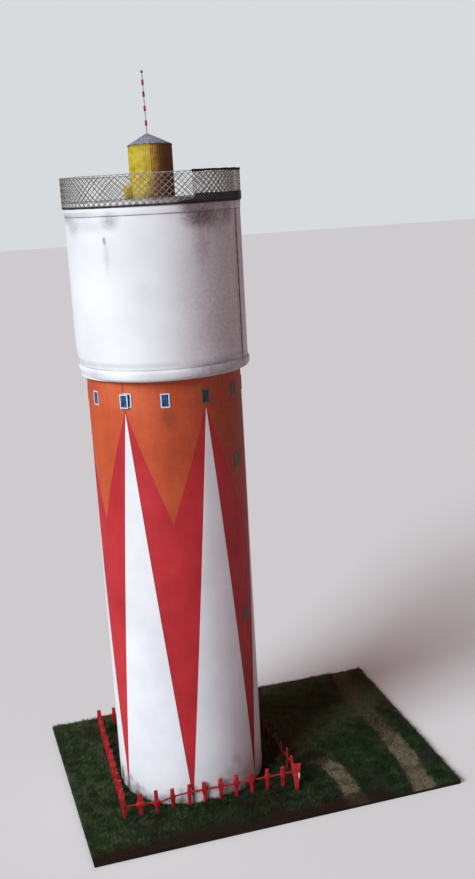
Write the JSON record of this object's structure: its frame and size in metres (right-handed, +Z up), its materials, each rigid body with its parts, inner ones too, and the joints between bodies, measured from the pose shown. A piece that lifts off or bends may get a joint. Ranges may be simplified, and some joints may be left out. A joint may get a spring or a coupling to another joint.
{
  "type": "scale model of a painted round water tower on a base board",
  "caption": "Round scale-model water tower in painted card with a white tank, mesh parapet, roof cabin and mast, fenced in on a grassed base board.",
  "frame": {"origin": "on the tower's axis, at the underside of the base board", "axes": "+Z up along the tower's axis; +X along the board's long front edge, to the right seen from the front; +Y from the front edge to the back edge"},
  "size_m": [0.1923, 0.1396, 0.3542],
  "materials": {
    "board_paint": "matte",
    "turf": "matte",
    "track_sand": "matte",
    "fence_red": "satin",
    "red_card": "satin",
    "orange_paper": "satin",
    "white_paper": "satin",
    "window_print": "satin",
    "white_card": "satin",
    "deck_card": "matte",
    "wire_mesh": "satin",
    "black_band": "matte",
    "cabin_yellow": "satin",
    "roof_grey": "satin",
    "mast_paint": "satin"
  },
  "bodies": {
    "root": {"base_board": "board_paint", "turf_tower_side": "turf", "turf_between_tracks": "turf", "turf_far_side": "turf", "track_near": "track_sand", "track_far": "track_sand", "fence_front": "fence_red", "fence_back": "fence_red", "fence_left": "fence_red", "fence_right": "fence_red", "shaft_tube": "red_card", "orange_crown": "orange_paper", "white_crown": "white_paper", "window_ring_01": "window_print", "window_ring_02": "window_print", "window_ring_03": "window_print", "window_ring_04": "window_print", "window_ring_05": "window_print", "window_ring_06": "window_print", "window_ring_07": "window_print", "window_ring_08": "window_print", "window_ring_09": "window_print", "window_ring_10": "window_print", "window_ring_11": "window_print", "window_ring_12": "window_print", "stair_window_01": "window_print", "stair_window_02": "window_print", "stair_window_03": "window_print", "stair_window_04": "window_print", "tank_floor": "white_card", "tank_wall": "white_card", "tank_bottom_ring": "white_card", "tank_top_band": "white_card", "tank_seam_strip": "white_card", "deck": "deck_card", "parapet_mesh_1": "wire_mesh", "parapet_mesh_2": "wire_mesh", "parapet_mesh_3": "wire_mesh", "parapet_mesh_4": "wire_mesh", "parapet_lap_mesh": "wire_mesh", "parapet_lap_band": "black_band", "parapet_lap_edge": "black_band", "cabin_wall": "cabin_yellow", "cabin_hatch": "cabin_yellow", "cabin_roof": "roof_grey", "mast": "mast_paint"}
  },
  "joints": []
}
